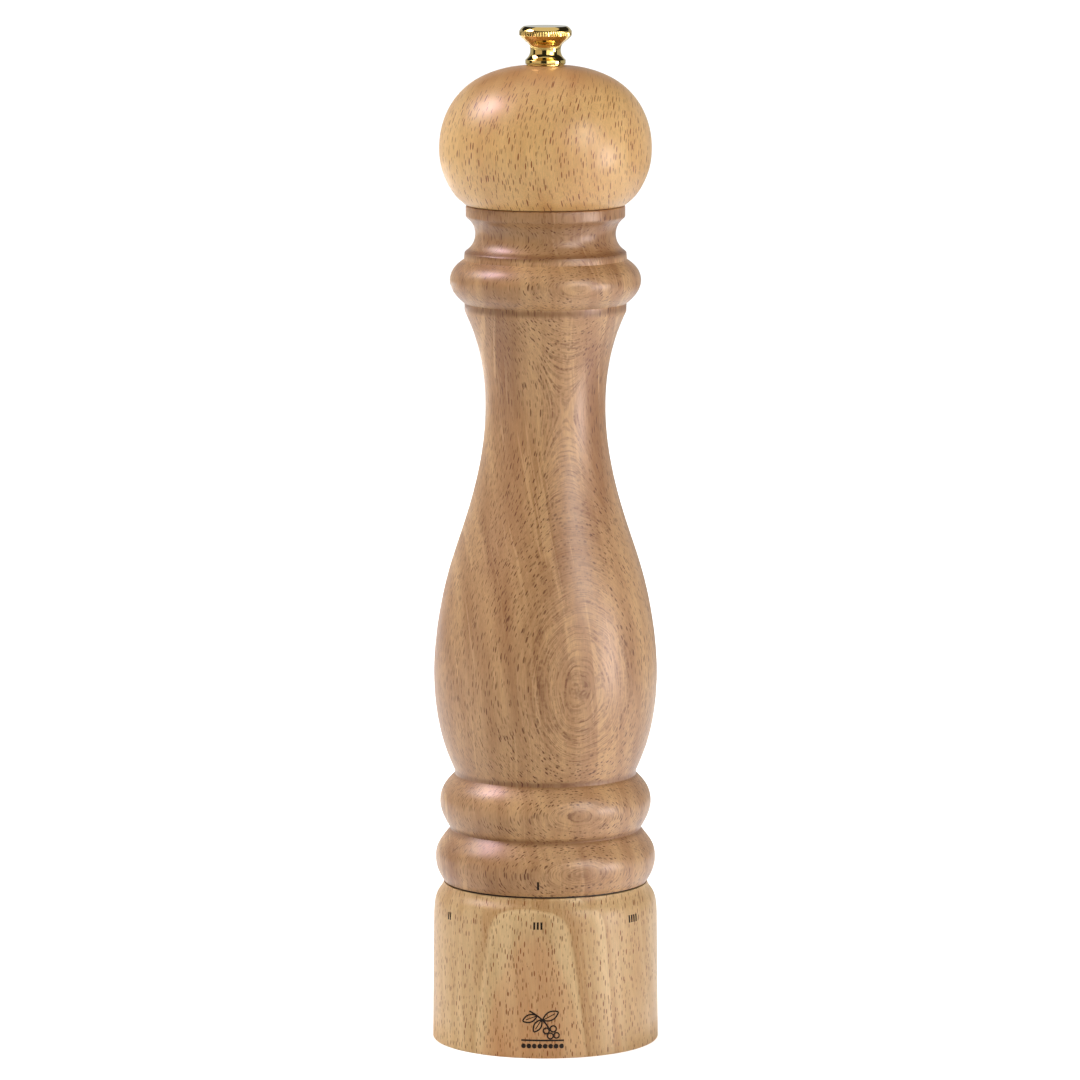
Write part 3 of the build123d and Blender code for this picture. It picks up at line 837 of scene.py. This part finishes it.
STROKE_LOW_Z = 38.3
STROKE_HIGH_Z = 40.5
STROKE_R = 33.0          # of the wood at the strokes
SEAT_Z = 46.72           # under the washer that the body glides on
SEAT_R = 28.0


def setting_marks():
    """Angles of the strokes of the six settings, one stroke more for each."""
    marks = []
    for strokes in range(1, 7):
        for i in range(strokes):
            offset = (i - (strokes - 1) / 2) * STROKE_PITCH
            marks.append(mark_angles(SETTING_STEP * (strokes - REST_SETTING), STROKE_R, offset))
    return marks


def turned_ring():
    """The adjusting ring, with its settings under a rounded shoulder."""
    foot = arc((BASE_R - FOOT_ROUND, 0), (BASE_R - 0.13, 0.13), (BASE_R, FOOT_ROUND), 6)
    shoulder = curve(
        [(FLANK_TOP_R, FLANK_TOP_Z), (32.82, 40.8), (31.89, 43.8), (30.55, 45.8), (SEAM_R, RING_TOP_Z)],
        0.5,
    )
    lip = [shoulder[-2], (SEAM_R, RING_TOP_Z - 0.02), (SEAM_R - 0.4, SEAT_Z), (SEAT_R, SEAT_Z)]
    outside = joined(
        foot,
        straight((BASE_R, FOOT_ROUND), (FLANK_TOP_R, FLANK_TOP_Z)),
        shoulder,
        softened(lip, 0.15)[1:],
    )
    outside = index_rows(outside, STROKE_LOW_Z, STROKE_HIGH_Z)
    inside = [(SEAT_R, SEAT_Z), (RING_BORE_R, SEAT_Z)]
    inside += straight((RING_BORE_R, SEAT_Z), (RING_BORE_R, BORE_CHAMFER), 4.0)[1:]
    inside += [(RING_BORE_R + BORE_CHAMFER, 0.0), (BASE_R - FOOT_ROUND, 0.0)]
    marks = setting_marks()
    ring = lathe("turned_ring", outside, inside, angles_round(FINE, marks))
    engrave(ring, marks, STROKE_LOW_Z, STROKE_HIGH_Z, STROKE_R - 2, MARK_DEPTH, INK)
    fit(ring, "adjusting_ring", "ring_unit", "beech_pale", ring_wood, raw_wood, ink)


turned_body()
turned_head()
turned_ring()


# ---------------------------------------------------------------- brass knob and its washer
KNURLS = 60
RIM_R = 7.67
RIM_LOW_Z = 297.4
RIM_HIGH_Z = 298.6
KNURL_DEPTH = 0.13
KNOB_BORE_R = 2.55
KNOB_LOW_Z = 289.0
FLANGE_R = 5.92
FLANGE_TOP_Z = 290.2
KNOB_BORE_TOP_Z = 297.5
KNOB_TOP_R = 6.35        # of the flat top
KNOB_TOP_Z = 300.0
WASHER_R = 5.6
WASHER_BORE_R = 2.7
RUNNING_GAP = 0.05


def knurled(column, r, z):
    """Radius of the knob: every third column of the rim is the bottom of a notch."""
    on_rim = RIM_LOW_Z - 0.01 < z < RIM_HIGH_Z + 0.01 and r > RIM_R - 0.4
    return r - KNURL_DEPTH if on_rim and column % 3 == 0 else r


def brass_knob():
    """The knob: a flange, a waist and a knurled, domed cap."""
    angles = []
    for i in range(KNURLS):
        angles += [(i + share) * 2 * math.pi / KNURLS for share in (0, 0.3, 0.7)]
    waist = [(FLANGE_R, FLANGE_TOP_Z), (4.93, 291.3), (4.48, 293.1), (4.85, 294.6), (5.9, 295.6)]
    neck = curve(waist, 0.25)
    flange = [
        (KNOB_BORE_R, KNOB_LOW_Z),
        (FLANGE_R - 0.15, KNOB_LOW_Z),
        (FLANGE_R, KNOB_LOW_Z + 0.15),
        (FLANGE_R, FLANGE_TOP_Z),
        neck[1],
    ]
    cap = [(6.95, 296.5), (7.36, 297.0), (RIM_R - 0.01, RIM_LOW_Z - 0.04)]
    cap += [(RIM_R, RIM_LOW_Z), (RIM_R, (RIM_LOW_Z + RIM_HIGH_Z) / 2), (RIM_R, RIM_HIGH_Z)]
    outside = joined(
        softened(flange, 0.06)[:-1],
        neck[1:],
        cap,
        arc((RIM_R, RIM_HIGH_Z), (7.12, 299.4), (KNOB_TOP_R, KNOB_TOP_Z), 8),
        straight((KNOB_TOP_R, KNOB_TOP_Z), (0.0, KNOB_TOP_Z), 0.9),
    )
    inside = [(0.0, KNOB_TOP_Z), (0.0, KNOB_BORE_TOP_Z)]
    inside += [(KNOB_BORE_R, KNOB_BORE_TOP_Z), (KNOB_BORE_R, KNOB_LOW_Z)]
    knob = lathe("turned_knob", outside, inside, angles, radius_at=knurled)
    fit(knob, "head_nut", "nut", "brass_polished", polished_brass, polished_brass)
    knob.visible_diffuse = False    # or its mirror throws specks of light on the wood below


def knob_washer():
    """The brass foot ring between the knob and the head."""
    low_z = HEAD_TOP_Z + RUNNING_GAP
    high_z = KNOB_LOW_Z - RUNNING_GAP
    outside = [(WASHER_BORE_R, low_z), (WASHER_R, low_z), (WASHER_R, high_z), (WASHER_BORE_R, high_z)]
    inside = [(WASHER_BORE_R, high_z), (WASHER_BORE_R, low_z)]
    washer = lathe("knob_washer", softened(outside, 0.08), inside, angles_round(96))
    fit(washer, "nut_washer", "nut_foot", "brass_polished", polished_brass, polished_brass)


brass_knob()
knob_washer()


# ---------------------------------------------------------------- sprig of pepper on the foot
PRINT_AZIMUTH = 2.4      # degrees from the front
PRINT_LIFT = 0.012       # above the wood
OUTLINE = 0.46           # widths of the lines
STEM = 0.5
VEIN = 0.3
RULE = 0.52
RULE_Z = 5.45
DOT_Z = 3.75
DOT_R = 0.36
# place of the foot, length, half width and angle of each leaf, and place and radius of each berry
LEAVES = ((-1.6, 12.8, 4.6, 1.1, 202), (0.1, 11.5, 5.2, 1.25, 28), (-0.3, 11.6, 4.3, 1.05, 238))
BERRIES = ((1.1, 8.3, 0.85), (3.15, 8.9, 0.9), (2.3, 6.8, 0.85), (4.1, 6.95, 0.8))


def foot_point(across, z):
    """Point just above the ring's flank, at a distance round it from the sprig's middle."""
    r = BASE_R - (BASE_R - FLANK_TOP_R) * (z - FOOT_ROUND) / (FLANK_TOP_Z - FOOT_ROUND)
    r += PRINT_LIFT
    a = math.radians(PRINT_AZIMUTH) + across / BASE_R
    return Vector((r * math.sin(a), -r * math.cos(a), z)) * MM


def ribbon(mesh, line, width):
    """Flat strip along a line of (across, z) points."""
    sides = []
    for i, spot in enumerate(line):
        before, after = line[max(i - 1, 0)], line[min(i + 1, len(line) - 1)]
        along = np.array(after, float) - before
        along /= np.hypot(*along)
        normal = np.array((-along[1], along[0])) * width / 2
        sides.append([mesh.verts.new(foot_point(*(spot + normal * s))) for s in (1, -1)])
    for low, high in zip(sides, sides[1:]):
        mesh.faces.new([low[0], low[1], high[1], high[0]])


def circle(x, z, r, count=28):
    return [(x + r * math.cos(a), z + r * math.sin(a)) for a in np.linspace(0, 2 * math.pi, count + 1)]


def leaf(x, z, length, width, angle):
    """Outline of a pointed leaf and its vein, from its foot."""
    turn = math.radians(angle)
    edges = []
    for side in (1, -1):
        line = []
        for t in np.linspace(0, 1, 15):
            on = length * t
            out = side * width * math.sin(math.pi * t) ** 0.8
            across = x + on * math.cos(turn) - out * math.sin(turn)
            line.append((across, z + on * math.sin(turn) + out * math.cos(turn)))
        edges.append(line)
    vein = [(x + length * t * math.cos(turn), z + length * t * math.sin(turn)) for t in (0, 0.35, 0.78)]
    return edges, vein


def pepper_sprig():
    """A sprig of pepper with three leaves and four berries, over a line and a row of dots."""
    mesh = bmesh.new()
    ribbon(mesh, curve([(-3.9, 14.2), (-1.9, 13.0), (0.2, 11.3), (1.6, 9.5), (2.2, 8.2)], 0.3), STEM)
    for x, z, length, width, angle in LEAVES:
        edges, vein = leaf(x, z, length, width, angle)
        for line in edges:
            ribbon(mesh, line, OUTLINE)
        ribbon(mesh, vein, VEIN)
    for x, z, r in BERRIES:
        ribbon(mesh, circle(x, z, r), OUTLINE)
    ribbon(mesh, [(x, RULE_Z) for x in np.linspace(-6.3, 6.3, 40)], RULE)
    for x in np.linspace(-5.6, 5.6, 8):
        ribbon(mesh, circle(x, DOT_Z, DOT_R, 16), 2 * DOT_R)    # so wide that the dot is filled
    bmesh.ops.recalc_face_normals(mesh, faces=mesh.faces)
    data = bpy.data.meshes.new("sprig_print")
    mesh.to_mesh(data)
    mesh.free()
    sprig = bpy.data.objects.new("sprig_print", data)
    bpy.context.scene.collection.objects.link(sprig)
    data.materials.append(ink)
    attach(sprig, "ring_unit")


pepper_sprig()


# ---------------------------------------------------------------- studio
def floor_paper():
    """White seamless paper with a faint tooth, thin enough for the glow below it to come through."""
    g = Graph("floor_paper")
    x, y, z = g.place()
    tooth = g.noise(x, y, z, scale=0.8, detail=2.0)
    g.set(Base_Color=g.tinted(tone(250, 250, 250), tooth * 0.01 + 0.995))
    g.set(Roughness=0.9, Specular_IOR_Level=0.1)
    through = g.add("ShaderNodeBsdfTransparent")
    both = g.add("ShaderNodeAddShader")
    g.tree.links.new(g.shader.outputs[0], both.inputs[0])
    g.tree.links.new(through.outputs[0], both.inputs[1])
    g.tree.links.new(both.outputs[0], g.out.inputs["Surface"])
    return g.material


def lit_backdrop():
    """Glow of a light table and wall, which starts a little away from the object's contact shadow."""
    g = Graph("lit_backdrop")
    x, y, _ = g.place()
    distance = (x.squared() + y.squared()).root()
    near = distance.between(CONTACT_R, GLOW_R, 0.0, NEAR_GLOW)
    glow = near + distance.between(2 * GLOW_R, FAR_GLOW_R, 0.0, FAR_GLOW)
    g.set(Base_Color=(0.0, 0.0, 0.0, 1.0), Specular_IOR_Level=0.0)
    g.set(Emission_Color=(1.0, 1.0, 1.0, 1.0), Emission_Strength=glow)
    return g.material


def card_glow(name, colour, strength):
    """Even light of a reflector card, a little softer where its cloth is uneven."""
    g = Graph(name)
    x, y, z = g.place()
    cloth = g.noise(x, y, z, scale=0.004, detail=2.0)
    g.set(Base_Color=(0.0, 0.0, 0.0, 1.0), Specular_IOR_Level=0.0)
    g.set(Emission_Color=colour, Emission_Strength=((cloth - 0.5) * 0.2 + 1.0) * strength)
    return g.material


def sheet(name, rows, material):
    """Smooth surface through rows of points, staged in the studio."""
    mesh = bmesh.new()
    lines = [[mesh.verts.new(spot) for spot in row] for row in rows]
    for low, high in zip(lines, lines[1:]):
        for k in range(len(low) - 1):
            mesh.faces.new([low[k], low[k + 1], high[k + 1], high[k]]).smooth = True
    data = bpy.data.meshes.new(name)
    mesh.to_mesh(data)
    mesh.free()
    piece = bpy.data.objects.new(name, data)
    bpy.context.scene.collection.objects.link(piece)
    data.materials.append(material)
    return piece


def round_rows(line, first=0.0, last=360.0, count=72):
    """Rows of points round the Z axis, one row for each (radius, height) of a line."""
    angles = [math.radians(first + (last - first) * i / count) for i in range(count + 1)]
    return [[(r * math.sin(a), -r * math.cos(a), z) for a in angles] for r, z in line]


NEAR_GLOW = 0.55
FAR_GLOW = 0.55
CONTACT_R = 33.4         # mm from the axis, like the next two
GLOW_R = 84.0
FAR_GLOW_R = 1000.0
FLOOR_R = 3.2            # metres, like the rest
BEND_R = 1.4
WALL_TOP = 4.0
BACKDROP_DROP = 0.05     # how far below the floor the light table's glow lies
CARD_R = 1.9
CARD_FOOT = 0.02
FLOOR_CARD = [(0.045, 0.001), (0.7, 0.001)]


def studio_room():
    """Round paper floor over a glowing backdrop, which only shows and sheds no light of its own."""
    sheet("floor", round_rows([(0.001, 0.0), (FLOOR_R, 0.0)]), floor_paper())
    quarter = [math.pi / 2 * i / 16 for i in range(17)]
    line = [(0.001, -BACKDROP_DROP)]
    for a in quarter:
        r = FLOOR_R - BEND_R + BEND_R * math.sin(a)
        line.append((r, BEND_R - BEND_R * math.cos(a) - BACKDROP_DROP))
    wall = sheet("wall", round_rows(line + [(FLOOR_R, WALL_TOP)]), lit_backdrop())
    wall.visible_diffuse = False
    wall.visible_glossy = False
    wall.visible_shadow = False


def card(name, line, colour, strength, first=0.0, last=360.0):
    """Reflector turned between two azimuths, which shows only in polished surfaces."""
    piece = sheet(name, round_rows(line, first, last, 24), card_glow(name, colour, strength))
    piece.visible_camera = False
    piece.visible_diffuse = False
    piece.visible_shadow = False
    return piece


def softbox(
    name,
    azimuth,
    elevation,
    distance,
    width,
    height,
    power,
    colour,
    gleams=False,
    target=(0, 0, 0.16),
):
    """Area light on a sphere round the target, azimuth measured from the front towards +X."""
    light = bpy.data.lights.new(name, "AREA")
    light.shape = "RECTANGLE"
    light.size, light.size_y = width, height
    light.energy = power
    light.color = colour
    lamp = bpy.data.objects.new(name, light)
    a, e = math.radians(azimuth), math.radians(elevation)
    out = Vector((math.sin(a) * math.cos(e), -math.cos(a) * math.cos(e), math.sin(e)))
    lamp.location = Vector(target) + out * distance
    lamp.rotation_mode = "QUATERNION"
    lamp.rotation_quaternion = out.to_track_quat("Z", "Y")
    bpy.context.scene.collection.objects.link(lamp)
    lamp.visible_camera = False
    lamp.visible_glossy = gleams
    return lamp


def reflector_cards():
    """What the brass and the lacquer mirror: cards at the sides, behind, above and on the floor."""
    card("card_right", [(CARD_R, CARD_FOOT), (CARD_R, 1.5)], (1.0, 0.97, 0.94, 1.0), 2.0, 12, 72)
    card("card_left", [(CARD_R, CARD_FOOT), (CARD_R, 1.2)], (1.0, 0.9, 0.84, 1.0), 0.8, -80, -22)
    card("card_back", [(CARD_R, CARD_FOOT), (CARD_R, 1.0)], (0.95, 1.0, 1.0, 1.0), 0.6, 100, 260)
    card("card_top", [(0.001, 2.2), (1.3, 2.2)], (1.0, 0.98, 0.94, 1.0), 0.9)
    card("card_floor_front", FLOOR_CARD, (1.0, 0.99, 0.99, 1.0), 0.4, -60, 40)
    card("card_floor_right", FLOOR_CARD, (1.0, 0.94, 0.96, 1.0), 2.4, 40, 110)
    card("card_floor_back", FLOOR_CARD, (0.95, 0.97, 1.0, 1.0), 1.5, 110, 300)


def dim_world():
    """A little even light from all round."""
    world = bpy.data.worlds.new("studio")
    world.use_nodes = True
    background = world.node_tree.nodes["Background"]
    background.inputs["Color"].default_value = (1.0, 1.0, 1.0, 1.0)
    background.inputs["Strength"].default_value = 0.03
    bpy.context.scene.world = world


def studio_lights():
    """Softboxes: keys on the left and right, fills round them, and two that only gleam."""
    softbox("left_high", -96, 44, 1.5, 0.7, 0.7, 11.5, (1.0, 0.97, 0.95), gleams=True)
    softbox("left_back", -152, 4, 1.5, 0.7, 0.9, 17.0, (1.0, 1.0, 1.0), target=(0, 0, 0.07))
    softbox("left_low", -80, 3, 1.5, 0.5, 0.4, 4.0, (1.0, 0.98, 0.98), target=(0, 0, 0.05))
    gleam = softbox("left_gleam", -88, 49, 1.5, 0.45, 0.45, 12.0, (1.0, 0.6, 0.78), gleams=True)
    softbox("right_front", 50, 23, 1.5, 0.6, 0.7, 10.8, (1.0, 0.97, 0.96), gleams=True)
    veil = softbox(
        "right_low", 74, -1, 1.5, 0.5, 0.6, 12.0, (1.0, 0.94, 0.96), gleams=True, target=(0, 0, 0.1)
    )
    softbox("right_back", 108, 28, 1.2, 0.5, 0.4, 3.2, (1.0, 1.0, 1.0), target=(0, 0, 0.27))
    softbox("front_high", 18, 52, 1.6, 0.6, 0.6, 1.6, (1.0, 0.99, 0.98))
    softbox("front_left", -45, 45, 1.6, 0.8, 0.8, 3.4, (1.0, 0.98, 0.96))
    for light in (gleam, veil):
        light.visible_diffuse = False


studio_room()
reflector_cards()
dim_world()
studio_lights()
bpy.context.scene.view_settings.view_transform = "Standard"


# ---------------------------------------------------------------- camera
CAMERA_AZIMUTH = 3.9
CAMERA_DISTANCE = 1.999
CAMERA_HEIGHT = 0.4206
CAMERA_PITCH = 7.745
AXIS_OFFSET = 0.00509    # how far the axis stands right of the middle, as a share of the frame


def aim_camera():
    """A long lens in front of the mill, a little to the right of it and looking slightly down."""
    data = bpy.data.cameras.new("camera")
    data.lens = 228.24
    data.sensor_width = 36.0
    data.shift_x = -AXIS_OFFSET
    data.clip_start = 0.05
    camera = bpy.data.objects.new("camera", data)
    turn = math.radians(CAMERA_AZIMUTH)
    across, back = CAMERA_DISTANCE * math.sin(turn), CAMERA_DISTANCE * math.cos(turn)
    camera.location = (across, -back, CAMERA_HEIGHT)
    camera.rotation_euler = (math.radians(90 - CAMERA_PITCH), 0, turn)
    bpy.context.scene.collection.objects.link(camera)
    bpy.context.scene.camera = camera


aim_camera()
